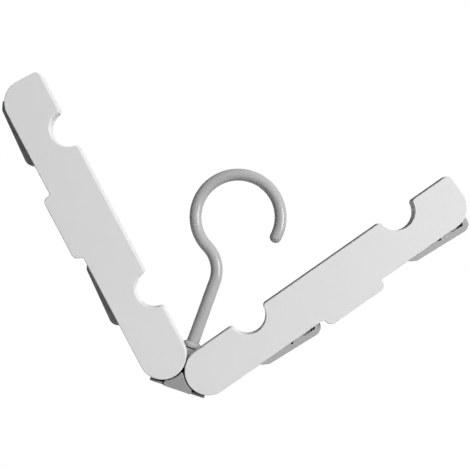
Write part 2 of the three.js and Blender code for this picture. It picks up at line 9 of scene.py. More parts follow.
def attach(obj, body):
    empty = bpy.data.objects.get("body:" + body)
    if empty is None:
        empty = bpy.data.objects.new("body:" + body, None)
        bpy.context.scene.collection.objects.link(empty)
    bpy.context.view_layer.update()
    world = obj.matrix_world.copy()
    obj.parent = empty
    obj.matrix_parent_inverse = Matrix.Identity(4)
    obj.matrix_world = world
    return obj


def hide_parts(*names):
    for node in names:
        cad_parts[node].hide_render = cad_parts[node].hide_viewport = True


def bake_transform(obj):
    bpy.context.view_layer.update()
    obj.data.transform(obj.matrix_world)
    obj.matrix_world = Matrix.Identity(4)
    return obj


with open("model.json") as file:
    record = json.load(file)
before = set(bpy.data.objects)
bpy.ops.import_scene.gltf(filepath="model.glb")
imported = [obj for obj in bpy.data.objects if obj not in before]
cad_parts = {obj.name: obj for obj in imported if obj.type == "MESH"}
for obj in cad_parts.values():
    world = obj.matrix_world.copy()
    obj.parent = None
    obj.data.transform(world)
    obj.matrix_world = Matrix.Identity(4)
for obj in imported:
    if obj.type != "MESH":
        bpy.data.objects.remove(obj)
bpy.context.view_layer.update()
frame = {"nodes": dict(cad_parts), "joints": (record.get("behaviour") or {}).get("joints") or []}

jointSpot = {joint["name"]: Vector(joint["pos_m"]) for joint in frame["joints"]}
front = Vector((0, -1, 0))  # the way the arms' faces look
sameSpot = 1e-4  # millimetres within which two points are one
sameLevel = 1e-3  # millimetres within which two heights are one
over = 1.0  # how far a tool reaches past what it cuts or into what it joins
print("frame loaded,", len(frame["nodes"]), "nodes")


# Modelling helpers: pieces are drawn flat in millimetres, x along, y across, z to the front,
# and are settled in their places on the hanger at the end

def clearPick():
    if bpy.context.mode != "OBJECT":
        bpy.ops.object.mode_set(mode="OBJECT")
    bpy.ops.object.select_all(action="DESELECT")


def choose(piece):
    clearPick()
    piece.select_set(True)
    bpy.context.view_layer.objects.active = piece


def openUp(piece):
    choose(piece)
    bpy.ops.object.mode_set(mode="EDIT")


def named(piece, name):
    piece.name = name
    piece.data.name = name
    return piece


def applyPlace():  # the picked object's place goes into its mesh
    bpy.ops.object.transform_apply(location=True, rotation=True, scale=True)


def pick(piece, kind, test):  # select the edges or faces that pass a test
    bpy.ops.mesh.select_mode(type=kind)
    bpy.ops.mesh.select_all(action="DESELECT")
    mesh = bmesh.from_edit_mesh(piece.data)
    for element in mesh.edges if kind == "EDGE" else mesh.faces:
        element.select_set(test(element))
    mesh.select_flush_mode()
    bmesh.update_edit_mesh(piece.data)


def atLevel(element, level):
    return all(abs(v.co.z - level) < sameLevel for v in element.verts)


def pickFloor(piece, level):  # the flat face at one height
    pick(piece, "FACE", lambda face: atLevel(face, level))


def extrude(x, y, z):
    bpy.ops.mesh.extrude_region_move(TRANSFORM_OT_translate={"value": (x, y, z)})


def roundPicked(size, steps):
    bpy.ops.mesh.bevel(offset=size, segments=steps, profile=0.5, affect="EDGES", clamp_overlap=False)


def roundRim(piece, level, size, steps):
    pick(piece, "EDGE", lambda edge: atLevel(edge, level))
    roundPicked(size, steps)


def faceOut():
    bpy.ops.mesh.select_all(action="SELECT")
    bpy.ops.mesh.remove_doubles(threshold=sameSpot)
    bpy.ops.mesh.normals_make_consistent(inside=False)


def stops(path):  # start, end, centre, turn and radius of each stop
    # a stop is a corner (x, y), a round corner (x, y, radius) or an arc (x, y, radius, from, to)
    def onArc(stop, angle):
        turn = radians(angle)
        return Vector((stop[0] + stop[2] * cos(turn), stop[1] + stop[2] * sin(turn)))

    def entry(stop):
        return onArc(stop, stop[3]) if len(stop) == 5 else Vector(stop[:2])

    def leaving(stop):
        return onArc(stop, stop[4]) if len(stop) == 5 else Vector(stop[:2])

    found = []
    for i, stop in enumerate(path):
        corner = Vector(stop[:2])
        if len(stop) == 5:
            found.append((entry(stop), leaving(stop), corner, radians(stop[4] - stop[3]), stop[2]))
        elif len(stop) == 2:
            found.append((corner, corner, None, 0, 0))
        else:
            before = (leaving(path[i - 1]) - corner).normalized()
            after = (entry(path[(i + 1) % len(path)]) - corner).normalized()
            half = before.angle(after) / 2
            reach = stop[2] / tan(half)
            centre = corner + (before + after).normalized() * stop[2] / sin(half)
            turn = (pi - 2 * half) * (1 if after.cross(before) > 0 else -1)
            found.append((corner + before * reach, corner + after * reach, centre, turn, stop[2]))
    return found


def drawn(name, path, level=0.0, chord=0.6):  # a filled flat outline at one height
    clearPick()
    bpy.ops.mesh.primitive_plane_add(size=1)
    piece = named(bpy.context.object, name)
    bpy.ops.object.mode_set(mode="EDIT")
    bpy.ops.mesh.select_mode(type="VERT")
    bpy.ops.mesh.select_all(action="SELECT")
    bpy.ops.mesh.merge(type="CENTER")
    route = stops(path)
    start = route[0][0]
    bpy.ops.transform.translate(value=(start.x, start.y, level))
    at = start
    for entry, leaving, centre, turn, radius in route:
        if (entry - at).length > sameSpot:
            extrude(entry.x - at.x, entry.y - at.y, 0)
        if centre is not None:
            steps = max(3, ceil(abs(turn) * radius / chord))
            bpy.ops.mesh.spin(steps=steps, angle=-turn, center=(centre.x, centre.y, level), axis=(0, 0, 1))
        at = leaving
    if (start - at).length > sameSpot:
        extrude(start.x - at.x, start.y - at.y, 0)
    bpy.ops.mesh.select_all(action="SELECT")
    bpy.ops.mesh.remove_doubles(threshold=sameSpot)
    bpy.ops.mesh.edge_face_add()
    return piece


def slab(name, path, low, high, chord=0.6):  # an outline raised to a solid
    piece = drawn(name, path, low, chord)
    extrude(0, 0, high - low)
    faceOut()
    return piece


def within(name, path, margin, low, high):  # the same solid drawn in by a margin all round
    piece = drawn(name, path, low)
    bpy.ops.mesh.select_mode(type="FACE")
    bpy.ops.mesh.select_all(action="SELECT")
    bpy.ops.mesh.inset(thickness=margin, depth=0)
    bpy.ops.mesh.select_all(action="INVERT")
    bpy.ops.mesh.delete(type="FACE")
    bpy.ops.mesh.select_all(action="SELECT")
    extrude(0, 0, high - low)
    faceOut()
    return piece


def disc(name, radius, sides, spot, tilt=(0, 0, 0)):  # a filled ring, open for editing and selected
    clearPick()
    bpy.ops.mesh.primitive_circle_add(
        vertices=sides, radius=radius, fill_type="NGON", location=spot, rotation=tilt,
    )
    piece = named(bpy.context.object, name)
    applyPlace()
    bpy.ops.object.mode_set(mode="EDIT")
    bpy.ops.mesh.select_all(action="SELECT")
    return piece


def turned(name, rings, spot=(0, 0), sides=40):  # a round body raised ring by ring: (radius, height)
    radius, height = rings[0]
    piece = disc(name, radius, sides, (*spot, height))
    for nextRadius, nextHeight in rings[1:]:
        extrude(0, 0, nextHeight - height)
        grow = nextRadius / radius
        bpy.ops.transform.resize(value=(grow, grow, 1), center_override=(*spot, nextHeight))
        radius, height = nextRadius, nextHeight
    bpy.ops.mesh.select_all(action="SELECT")
    bpy.ops.mesh.normals_make_consistent(inside=False)
    return piece


def together(pieces):  # several bodies as one object
    clearPick()
    for piece in pieces:
        piece.select_set(True)
    bpy.context.view_layer.objects.active = pieces[0]
    if len(pieces) > 1:
        bpy.ops.object.join()
    return pieces[0]


def closeUp(piece, sliver=0.004):  # merge slivers and fill pinholes that a boolean leaves
    openUp(piece)
    bpy.ops.mesh.select_mode(type="VERT")
    bpy.ops.mesh.select_all(action="SELECT")
    bpy.ops.mesh.remove_doubles(threshold=sliver)
    bpy.ops.mesh.dissolve_degenerate(threshold=sliver)
    bpy.ops.mesh.select_all(action="DESELECT")
    bpy.ops.mesh.select_non_manifold(extend=False, use_wire=True, use_boundary=True, use_multi_face=False)
    bpy.ops.mesh.fill_holes(sides=0)
    bpy.ops.object.mode_set(mode="OBJECT")


def combine(piece, tools, operation):  # boolean with other bodies, which are used up
    tool = together(tools)
    choose(piece)
    step = piece.modifiers.new("combine", "BOOLEAN")
    step.operation = operation
    step.solver = "EXACT"
    step.use_self = True
    step.object = tool
    bpy.ops.object.modifier_apply(modifier=step.name)
    bpy.data.objects.remove(tool)
    closeUp(piece)


def weld(piece, *tools):
    combine(piece, list(tools), "UNION")


def cut(piece, *tools):
    combine(piece, list(tools), "DIFFERENCE")


def bars(spots, radius, low, high, sides=32):  # straight round bars, for bosses and holes
    return [turned("bar", [(radius, low), (radius, high)], spot, sides) for spot in spots]


def standing(spot, across):  # from a flat drawing in millimetres to its place on the hanger
    up = front.cross(across)
    turn = Matrix((across, up, front)).transposed().to_4x4()
    return Matrix.Translation(spot) @ turn @ Matrix.Scale(0.001, 4)


def smoothed(piece, angle=32):
    choose(piece)
    bpy.ops.object.shade_smooth_by_angle(angle=radians(angle))
    even = piece.modifiers.new("even", "WEIGHTED_NORMAL")
    even.keep_sharp = True
    bpy.ops.object.modifier_apply(modifier=even.name)


def settle(piece, place):  # put the piece in its place, with the place in its mesh
    clearPick()
    piece.matrix_world = place
    choose(piece)
    applyPlace()


def copyOf(piece, name):
    twin = piece.copy()
    twin.data = piece.data.copy()
    bpy.context.scene.collection.objects.link(twin)
    return named(twin, name)


def finishPiece(piece, node, body, finish):
    piece.data.materials.clear()
    piece.data.materials.append(finish)
    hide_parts(node)
    if body:
        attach(piece, body)


# Shader helpers

class Signal:  # a socket that takes part in Python arithmetic
    def __init__(self, finish, socket):
        self.finish = finish
        self.socket = socket

    def math(self, operation, first, second):
        return self.finish.add("ShaderNodeMath", {"operation": operation}, {0: first, 1: second})

    def __add__(self, other):
        return self.math("ADD", self, other)

    def __radd__(self, other):
        return self.math("ADD", other, self)

    def __sub__(self, other):
        return self.math("SUBTRACT", self, other)

    def __rsub__(self, other):
        return self.math("SUBTRACT", other, self)

    def __mul__(self, other):
        return self.math("MULTIPLY", self, other)

    def __rmul__(self, other):
        return self.math("MULTIPLY", other, self)


class Finish:  # one node tree, and the only way nodes get into it
    def __init__(self, tree):
        self.tree = tree
        tree.nodes.clear()

    def add(self, kind, settings=None, inputs=None, output=0):
        node = self.tree.nodes.new(kind)
        for key, value in (settings or {}).items():
            setattr(node, key, value)
        for key, value in (inputs or {}).items():
            if isinstance(value, Signal):
                self.tree.links.new(value.socket, node.inputs[key])
            else:
                node.inputs[key].default_value = value
        return Signal(self, node.outputs[output]) if node.outputs else None

    def place(self):
        return self.add("ShaderNodeTexCoord", output="Object")

    def noise(self, place, scale, detail=2.0, rough=0.5):
        inputs = {"Vector": place, "Scale": scale, "Detail": detail, "Roughness": rough}
        return self.add("ShaderNodeTexNoise", None, inputs)

    def stretched(self, place, scale):
        return self.add("ShaderNodeMapping", None, {"Vector": place, "Scale": scale})

    def ramp(self, value, low, high):  # 0 up to low, 1 from high on
        settings = {"clamp": True}
        return self.add("ShaderNodeMapRange", settings, {0: value, 1: low, 2: high, 3: 0.0, 4: 1.0})

    def mix(self, factor, first, second):
        return self.add("ShaderNodeMix", {"data_type": "RGBA"}, {0: factor, 6: first, 7: second}, 2)

    def bump(self, height, strength, distance):
        inputs = {"Strength": strength, "Distance": distance, "Height": height}
        return self.add("ShaderNodeBump", None, inputs)

    def sheen(self, most):  # a coat that fades where the surface turns away
        facing = self.add("ShaderNodeLayerWeight", None, {"Blend": 0.5}, "Facing")
        return most * self.ramp(1.0 - facing, low=0.2, high=0.8)

    def surface(self, inputs):
        shader = self.add("ShaderNodeBsdfPrincipled", None, inputs)
        self.add("ShaderNodeOutputMaterial", None, {0: shader})


def grey(level):
    return (level, level, level, 1.0)


def newFinish(name):
    material = bpy.data.materials.new(name)
    material.use_nodes = True
    return material, Finish(material.node_tree)


whitePlasticLook = {
    "colour": 0.74,  # linear grey of the moulded white
    "cloud": 0.012,  # how far the tone wanders over a hand's width
    "cloudScale": 14.0,
    "grainScale": 5200.0,  # spark-eroded mould texture, about 0.2 mm
    "grainDepth": 0.000012,
    "grainRough": 0.10,
    "flowScale": 90.0,  # the plastic's flow lines
    "flowStretch": (1.0, 1.0, 0.35),
    "flowDepth": 0.000008,
    "flowRough": 0.06,
    "rubScale": 55.0,  # patches that handling has rubbed
    "rubBand": (0.52, 0.72),
    "rubColour": (0.60, 0.59, 0.57, 1.0),
    "rub": 0.02,
    "rubPolish": 0.05,
    "roughness": 0.62,
    "bump": 0.35,
    "sheen": 0.12,
    "sheenRoughness": 0.45,
}


def makeWhitePlastic(look):
    material, f = newFinish("whitePlastic")
    place = f.place()
    cloud = f.noise(place, look["cloudScale"], detail=3.0)
    grain = f.noise(place, look["grainScale"], rough=0.6)
    flow = f.noise(f.stretched(place, look["flowStretch"]), look["flowScale"], detail=3.0)
    rubbed = f.ramp(f.noise(place, look["rubScale"], detail=6.0, rough=0.65), *look["rubBand"])
    base = f.mix(cloud, grey(look["colour"] - look["cloud"]), grey(look["colour"] + look["cloud"]))
    base = f.mix(rubbed * look["rub"], base, look["rubColour"])
    rough = look["roughness"] + (grain - 0.5) * look["grainRough"] + (flow - 0.5) * look["flowRough"]
    rough = rough - rubbed * look["rubPolish"]
    height = grain + flow * (look["flowDepth"] / look["grainDepth"])
    f.surface({
        "Base Color": base,
        "Roughness": rough,
        "Normal": f.bump(height, look["bump"], look["grainDepth"]),
        "Specular IOR Level": 0.0,
        "Coat Weight": f.sheen(look["sheen"]),
        "Coat Roughness": look["sheenRoughness"],
    })
    return material


greyPlasticLook = {
    # linear grey of each piece: the hub's is set darker than the pegs', the hook's a little lighter
    "colour": {"hookGrey": 0.42, "leverGrey": 0.40, "hubGrey": 0.32},
    "sheen": {"hookGrey": 0.5, "leverGrey": 0.2, "hubGrey": 0.2},
    "sheenRoughness": 0.22,
    "cloud": 0.012,
    "cloudScale": 22.0,
    "grainScale": 4200.0,
    "grainDepth": 0.000014,
    "grainRough": 0.10,
    "hairStretch": (420.0, 420.0, 30.0),  # fine upright scratches
    "hairBand": (0.60, 0.74),
    "patchScale": 40.0,  # where they gather
    "patchBand": (0.45, 0.65),
    "scuff": 0.10,
    "scuffTone": 1.35,
    "scuffRough": 0.12,
    "scuffDepth": 0.25,
    "roughness": 0.6,
    "bump": 0.35,
}


def makeGreyPlastic(look, name):
    material, f = newFinish(name)
    place = f.place()
    cloud = f.noise(place, look["cloudScale"], detail=3.0)
    grain = f.noise(place, look["grainScale"], rough=0.6)
    hairs = f.ramp(f.noise(f.stretched(place, look["hairStretch"]), 1.0), *look["hairBand"])
    scuff = hairs * f.ramp(f.noise(place, look["patchScale"], detail=3.0), *look["patchBand"])
    level = look["colour"][name]
    base = f.mix(cloud, grey(level - look["cloud"]), grey(level + look["cloud"]))
    base = f.mix(scuff * look["scuff"], base, grey(level * look["scuffTone"]))
    f.surface({
        "Base Color": base,
        "Roughness": look["roughness"] + (grain - 0.5) * look["grainRough"] + scuff * look["scuffRough"],
        "Normal": f.bump(grain - scuff * look["scuffDepth"], look["bump"], look["grainDepth"]),
        "Specular IOR Level": 0.0,
        "Coat Weight": f.sheen(look["sheen"][name]),
        "Coat Roughness": look["sheenRoughness"],
    })
    return material


steelLook = {
    "colour": (0.56, 0.5656, 0.5768, 1.0),
    "lineStretch": (900.0, 72.0, 900.0),  # drawing lines along y
    "lineDepth": 0.000006,
    "lineRough": 0.18,
    "stainScale": 260.0,
    "stainBand": (0.5, 0.75),
    "stainColour": (0.47, 0.46, 0.44, 1.0),
    "stainRough": 0.08,
    "roughness": 0.30,
    "bump": 0.4,
}


def makeSteel(look):
    material, f = newFinish("platedSteel")
    place = f.place()
    lines = f.noise(f.stretched(place, look["lineStretch"]), 1.0, detail=3.0)
    stain = f.ramp(f.noise(place, look["stainScale"], detail=4.0), *look["stainBand"])
    f.surface({
        "Base Color": f.mix(stain, look["colour"], look["stainColour"]),
        "Roughness": look["roughness"] + (lines - 0.5) * look["lineRough"] + stain * look["stainRough"],
        "Metallic": 1.0,
        "Normal": f.bump(lines, look["bump"], look["lineDepth"]),
    })
    return material


nylonLook = {
    "colour": (0.66, 0.65, 0.60, 1.0),
    "cloudColour": (0.70, 0.69, 0.65, 1.0),
    "cloudScale": 300.0,
    "cloudRough": 0.1,
    "grainScale": 4000.0,
    "grainDepth": 0.00001,
    "roughness": 0.45,
    "bump": 0.3,
}


def makeNylon(look):
    material, f = newFinish("naturalNylon")
    place = f.place()
    cloud = f.noise(place, look["cloudScale"], detail=3.0)
    f.surface({
        "Base Color": f.mix(cloud, look["colour"], look["cloudColour"]),
        "Roughness": look["roughness"] + cloud * look["cloudRough"],
        "Normal": f.bump(f.noise(place, look["grainScale"]), look["bump"], look["grainDepth"]),
    })
    return material


whitePlastic = makeWhitePlastic(whitePlasticLook)
hookGrey = makeGreyPlastic(greyPlasticLook, "hookGrey")
leverGrey = makeGreyPlastic(greyPlasticLook, "leverGrey")
hubGrey = makeGreyPlastic(greyPlasticLook, "hubGrey")
steel = makeSteel(steelLook)
nylon = makeNylon(nylonLook)
print("finishes made")


# Hook: an upright spigot and collar, then a shank that leans a little and runs by an S-bend into the loop

hookSizes = {
    "behind": 6.5,  # hook axis behind the hub's front
    "sides": 48,
    "rings": [  # radius and height of the spigot and the collar, from the foot up
        (1.9, 0.0), (2.2, 0.3), (2.2, 1.3), (1.5, 1.3), (1.5, 2.9), (2.2, 2.9), (2.2, 8.5),
        (5.3, 8.5), (5.55, 8.6), (5.68, 8.85), (5.7, 9.2), (5.7, 9.6), (5.62, 10.1), (5.42, 10.6),
        (5.1, 11.02), (4.7, 11.33), (4.3, 11.53), (4.0, 11.63),
    ],
    "collarTop": 11.7,
    "shank": [(3.9, 11.7), (3.9, 13.0), (3.87, 19.0), (3.83, 26.0), (3.79, 36.0), (3.76, 48.0)],
    "lean": 1.1,
    "rod": 3.7,
    "bend": 21.0,
    "bendSteps": 24,
    "loop": 26.4,
    "loopSteps": 84,
    "loopHeight": 93.9,
    "loopAside": 0.05,
    "tipTurn": 8.0,
    "tipSteps": 7,
    "tipBlunt": 0.6,  # the share of a step left flat at the end
}


def makeHook(sizes):
    across = sizes["loopAside"] + sizes["bend"]
    rise = sqrt((sizes["loop"] + sizes["bend"]) ** 2 - across ** 2)
    bendStart = sizes["loopHeight"] - rise
    meet = atan2(rise, across)
    rings = sizes["rings"] + sizes["shank"] + [(sizes["rod"], bendStart)]
    piece = turned("hookPiece", rings, sides=sizes["sides"])
    pickFloor(piece, bendStart)
    bendMiddle = (-sizes["bend"], 0, bendStart)
    bpy.ops.mesh.spin(steps=sizes["bendSteps"], angle=meet, center=bendMiddle, axis=(0, 1, 0))
    loopTurn = pi + meet + radians(sizes["tipTurn"])
    middle = (sizes["loopAside"], 0, sizes["loopHeight"])
    bpy.ops.mesh.spin(steps=sizes["loopSteps"], angle=-loopTurn, center=middle, axis=(0, 1, 0))
    tip = radians(-sizes["tipTurn"])
    at = Vector((middle[0] + sizes["loop"] * cos(tip), 0, middle[2] + sizes["loop"] * sin(tip)))
    heading = Vector((sin(tip), 0, -cos(tip)))
    reach, shrink = 0.0, 1.0
    for i in range(1, sizes["tipSteps"] + 1):  # round the end over
        turn = pi / 2 * i / (sizes["tipSteps"] + sizes["tipBlunt"])
        step = heading * sizes["rod"] * (sin(turn) - reach)
        extrude(*step)
        at = at + step
        ratio = cos(turn) / shrink
        bpy.ops.transform.resize(value=(ratio, ratio, ratio), center_override=at)
        reach, shrink = sin(turn), cos(turn)
    faceOut()
    aboveCollar = sizes["collarTop"] - 0.01
    pick(piece, "FACE", lambda face: all(v.co.z > aboveCollar for v in face.verts))
    leanFrom = Vector((0, 0, sizes["collarTop"]))
    bpy.ops.transform.rotate(value=-radians(sizes["lean"]), orient_axis="Y", center_override=leanFrom)
    smoothed(piece, angle=40)
    settle(piece, Matrix.Translation((hubSpot.x, 0, hubSpot.z)) @ Matrix.Scale(0.001, 4))
    finishPiece(piece, "hook", "hook", hookGrey)
    print("hook made")


hubSpot = (jointSpot["left_arm_fold"] + jointSpot["right_arm_fold"]) / 2
hubSpot.y = -hookSizes["behind"] / 1000
hubPlace = standing(hubSpot, Vector((1, 0, 0)))
makeHook(hookSizes)


# Screws: modelled once for each length, and copied

screwSizes = {
    "sides": 36,
    "radius": 1.1,
    "neck": 0.1,
    "head": 2.5,
    "headHeight": 1.1,
    "headRound": [(0.35, 0.0), (0.1, 0.1), (0.0, 0.35)],  # how far the head draws in, and how deep
    "slot": 0.7,
    "slotDepth": 0.55,
    "slotTurn": (37, 71),  # the first slot's angle, and the turn from each slot to the next
    "point": 0.7,
    "pointRadius": 0.44,
    "armLength": 9.0,
    "hubLength": 9.8,
}


def makeScrew(name, sizes, length):  # head's top at z = 0, shank to the front
    head, headHeight = sizes["head"], sizes["headHeight"]
    shank, neck = sizes["radius"], sizes["neck"]
    rings = [(head - inset, depth) for inset, depth in sizes["headRound"]] + [(head, headHeight)]
    rings += [(shank + neck, headHeight), (shank, headHeight + neck)]
    rings += [(shank, length - sizes["point"]), (sizes["pointRadius"], length)]
    piece = turned(name, rings, sides=sizes["sides"])
    half, reach = sizes["slot"] / 2, head + over
    box = [(-reach, -half), (reach, -half), (reach, half), (-reach, half)]
    cut(piece, slab("slot", box, -over, sizes["slotDepth"]))
    smoothed(piece, angle=35)
    return piece


def placeScrews(pattern, spots, names, place, body, lift=0.0):
    firstTurn, nextTurn = screwSizes["slotTurn"]
    for i, ((x, y), name) in enumerate(zip(spots, names)):
        piece = copyOf(pattern, name + "Piece")
        spin = Matrix.Rotation(radians(firstTurn + nextTurn * i), 4, "Z")
        settle(piece, place @ Matrix.Translation((x, y, lift)) @ spin)
        finishPiece(piece, name, body, steel)


armScrew = makeScrew("armScrewPattern", screwSizes, screwSizes["armLength"])
hubScrew = makeScrew("hubScrewPattern", screwSizes, screwSizes["hubLength"])


# Hub: shell, foot flange and raised web, with a cover behind

hubSizes = {
    "pivot": 14.6,
    "ear": 7.8,
    "earDrop": 4.0,
    "drop": 16.6,
    "footHalf": 17.4,
    "footCorner": 1.0,
    "depth": 11.2,
    "wall": 2.0,
    "frontWall": 2.4,
    "rim": 0.25,
    "flange": 1.4,
    "flangeFront": 9.8,
    "flangeCorner": 0.6,
    "flangeRound": 0.57,
    "webRadius": 15.1,
    "webTopHalf": 0.8,
    "webFootHalf": 8.7,
    "webFront": 11.9,
    "webRound": 0.5,
    "webCorner": 0.9,
    "socket": (4.4, 3.6, 5.0),  # radius, length and height of the middle
    "bore": (2.5, 9.0, 6.7),
    "pinHole": 2.8,
    "cover": (-13.2, -11.5),
    "coverRound": 0.8,
    "screws": [(7.1, 4.3), (-7.1, 4.3), (7.1, -10.6), (-7.1, -10.6)],
    "boss": 3.0,
    "screwHole": 1.4,
    "screwHoleDepth": (-14.0, -3.1),
    "sink": 2.8,  # the hole that a screw's head sinks into
    "sinkDepth": 1.4,
}


def hubPath(sizes):
    foot, side = sizes["footHalf"], sizes["pivot"] + sizes["ear"]
    low, ear, drop, corner = -sizes["drop"], sizes["ear"], -sizes["earDrop"], sizes["footCorner"]
    return [
        (-foot, low, corner), (foot, low, corner), (side, drop, ear / 2),
        (side, ear, ear), (-side, ear, ear), (-side, drop, ear / 2),
    ]


def webPath(sizes):
    pivot, radius = sizes["pivot"], sizes["webRadius"]
    top = 180 + degrees(asin(sqrt(radius ** 2 - (pivot - sizes["webTopHalf"]) ** 2) / radius))
    foot = 360 - degrees(acos((sizes["webFootHalf"] - pivot) / radius))
    base, half = -sizes["drop"], sizes["webFootHalf"]
    return [
        (-half, base), (half, base),
        (pivot, 0, radius, foot, top), (-pivot, 0, radius, 540 - top, 540 - foot),
    ]


def uprightBar(radius, length, height):  # a bar along the hook's axis
    clearPick()
    spot = (0, height, -hookSizes["behind"])
    bpy.ops.mesh.primitive_cylinder_add(
        vertices=40, radius=radius, depth=length, rotation=(pi / 2, 0, 0), location=spot,
    )
    applyPlace()
    return bpy.context.object


def makeHub(sizes):
    half, low, flange = sizes["footHalf"], -sizes["drop"], sizes["flange"]
    footHalf, frontWall, inWall = sizes["webFootHalf"], sizes["frontWall"], -sizes["frontWall"] / 2

    def besideWeb(edge):  # the long edges where the web's straight foot turns into its curved sides
        atSide = all(abs(abs(v.co.x) - footHalf) < sameLevel and v.co.y > low + flange for v in edge.verts)
        return atSide and edge.calc_length() > sizes["webFront"]

    piece = slab("hubBodyPiece", hubPath(sizes), -sizes["depth"], 0.0)
    roundRim(piece, 0.0, sizes["rim"], steps=3)
    pickFloor(piece, -sizes["depth"])
    bpy.ops.mesh.inset(thickness=sizes["wall"], depth=0)
    extrude(0, 0, sizes["depth"] - frontWall)
    faceOut()
    ends = [(-half, low), (half, low), (half, low + flange), (-half, low + flange)]
    bar = [(x, y, sizes["flangeCorner"]) for x, y in ends]
    lip = slab("lip", bar, inWall, sizes["flangeFront"], chord=0.15)
    roundRim(lip, sizes["flangeFront"], sizes["flangeRound"], steps=5)
    web = slab("web", webPath(sizes), inWall, sizes["webFront"])
    pick(web, "EDGE", besideWeb)
    roundPicked(sizes["webCorner"], steps=5)
    roundRim(web, sizes["webFront"], sizes["webRound"], steps=4)
    weld(piece, lip)
    weld(piece, web)
    weld(piece, uprightBar(*sizes["socket"]))
    weld(piece, *bars(sizes["screws"], sizes["boss"], -sizes["depth"], inWall))
    cut(piece, uprightBar(*sizes["bore"]))
    pivots = [(sizes["pivot"], 0), (-sizes["pivot"], 0)]
    pinHoles = bars(pivots, sizes["pinHole"], -frontWall - over, over, sides=40)
    cut(piece, *pinHoles, *bars(sizes["screws"], sizes["screwHole"], *sizes["screwHoleDepth"]))
    smoothed(piece)
    settle(piece, hubPlace)
    finishPiece(piece, "hub_body", "hub", hubGrey)


def makeCover(sizes):
    back, inner = sizes["cover"]
    piece = slab("hubCoverPiece", hubPath(sizes), back, inner)
    roundRim(piece, back, sizes["coverRound"], steps=5)
    cut(piece, *bars(sizes["screws"], sizes["sink"], back - over, back + sizes["sinkDepth"]))
    cut(piece, *bars(sizes["screws"], sizes["screwHole"], back - over, inner + over))
    smoothed(piece)
    settle(piece, hubPlace)
    finishPiece(piece, "hub_back_cover", "hub", hubGrey)


makeHub(hubSizes)
makeCover(hubSizes)
hubScrewEnds = ("upper_right", "upper_left", "lower_right", "lower_left")
hubScrewNames = ["hub_" + end + "_screw" for end in hubScrewEnds]
placeScrews(hubScrew, hubSizes["screws"], hubScrewNames, hubPlace, "hub", hubSizes["cover"][0])
print("hub and cover made")


# Arms: a front tray and a back plate, with notches above, a swell below and a slot for each peg

armSizes = {
    "lean": {"left": 46.7, "right": 36.3},  # degrees from upright
    "half": 14.3,
    "reach": 186.5,
    "thick": 12.0,
    "wall": 2.0,
    "seam": 0.3,
    "edgeRound": 0.6,
    "backRound": 0.5,
    "tipTop": 3.0,
    "tipLower": 14.2,
    "swell": (75.0, 116.9),
    "swellDepth": 5.4,
    "swellFoot": 1.2,
    "swellCorner": 4.1,
    "notch": 11.2,
    "notchDepth": 11.4,
    "notchLip": 2.4,
    "notches": (147.5, 38.3),
    "pegs": (49.8, 158.8),
    "pegInset": {"left": 6.7, "right": 5.4},
    "handle": {"left": -1, "right": 1},  # which way the peg handles point along the arm
    "slotLow": -30.0,  # the slots are open below
    "pivotBoss": 6.3,
    "pivotHole": 2.8,
    "pivotDepth": 7.3,
    "screws": [(16.0, 0.0), (95.95, 0.0), (172.5, 7.0)],
    "boss": 3.0,
    "screwHole": 1.4,
    "screwDepth": 9.3,
    "sink": 2.8,
    "sinkDepth": 1.4,
    "pinSeat": 1.0,  # how deep in the plate the peg pins stand
}


def mirrored(path, side):
    flipped = []
    for stop in path:
        turns = [side * angle for angle in stop[3:]]
        flipped.append((stop[0], side * stop[1], *stop[2:3], *turns))
    return flipped


def armPath(sizes):
    edge, reach = sizes["half"], sizes["reach"]
    first, last = sizes["swell"]
    belly, lip, bowl = -edge - sizes["swellDepth"], sizes["notchLip"], sizes["notch"]
    middle = edge - sizes["notchDepth"] + bowl
    rise = edge - lip - middle
    aside = sqrt((bowl + lip) ** 2 - rise ** 2)
    meet = degrees(atan2(rise, aside))
    path = [
        (0, 0, edge, 90, 270), (first, -edge, sizes["swellFoot"]), (first, belly, sizes["swellCorner"]),
        (last, belly, sizes["swellCorner"]), (last, -edge, sizes["swellFoot"]),
        (reach, -edge, sizes["tipLower"]), (reach, edge, sizes["tipTop"]),
    ]
    for at in sizes["notches"]:
        path += [
            (at + aside, edge - lip, lip, 90, 180 + meet),
            (at, middle, bowl, meet, -180 - meet),
            (at - aside, edge - lip, lip, -meet, 90),
        ]
    return path


pegSizes = {
    "jaw": 21.9,
    "handle": 22.1,
    "jawDepth": 5.3,
    "handleTop": 1.0,
    "belly": 9.9,
    "slope": 3.3,
    "corner": 6.0,
    "topCorner": 1.5,
    "jawRake": 4.4,
    "jawLip": 0.9,
    "jawCorner": 3.0,
    "heel": 1.0,
    "boss": 3.35,
    "back": 2.3,
    "front": 9.7,
    "face": 8.2,  # the side that the finger finds, set back below the boss
    "faceTop": -3.65,
    "edgeRound": 0.45,
    "endSlope": 1.4,  # the handle's end, where the finger slides off
    "backRound": 0.5,
    "window": (9.0, 18.0, -2.9, -6.3),
    "windowCorner": 1.2,
    "recess": 3.2,
    "dimple": (1.2, -5.6, 1.3),
    "pin": 1.55,
    "springRoom": 2.45,
    "springHalf": 1.9,
    "springReach": (11, 12),  # the room for its legs, along and across
    "pocketRise": 5.87,
    "rib": 1.6,
    "room": 1.1,
    "gap": 0.3,
}


def pocketPath(sizes, peg, grow, low):  # the slot that a peg rocks in, or the rib round it
    along, across, way = peg
    gap = sizes["gap"]
    seat = across - sizes["jawDepth"] + gap + grow
    roof = across + sizes["pocketRise"] + grow
    jaw, boss = -sizes["jaw"] - gap - grow, -sizes["boss"] - gap - grow
    handle = sizes["handle"] + sizes["room"] + grow
    points = [(jaw, low), (jaw, seat), (boss, seat), (boss, roof), (handle, roof), (handle, low)]
    return [(along + way * s, v) for s, v in points]


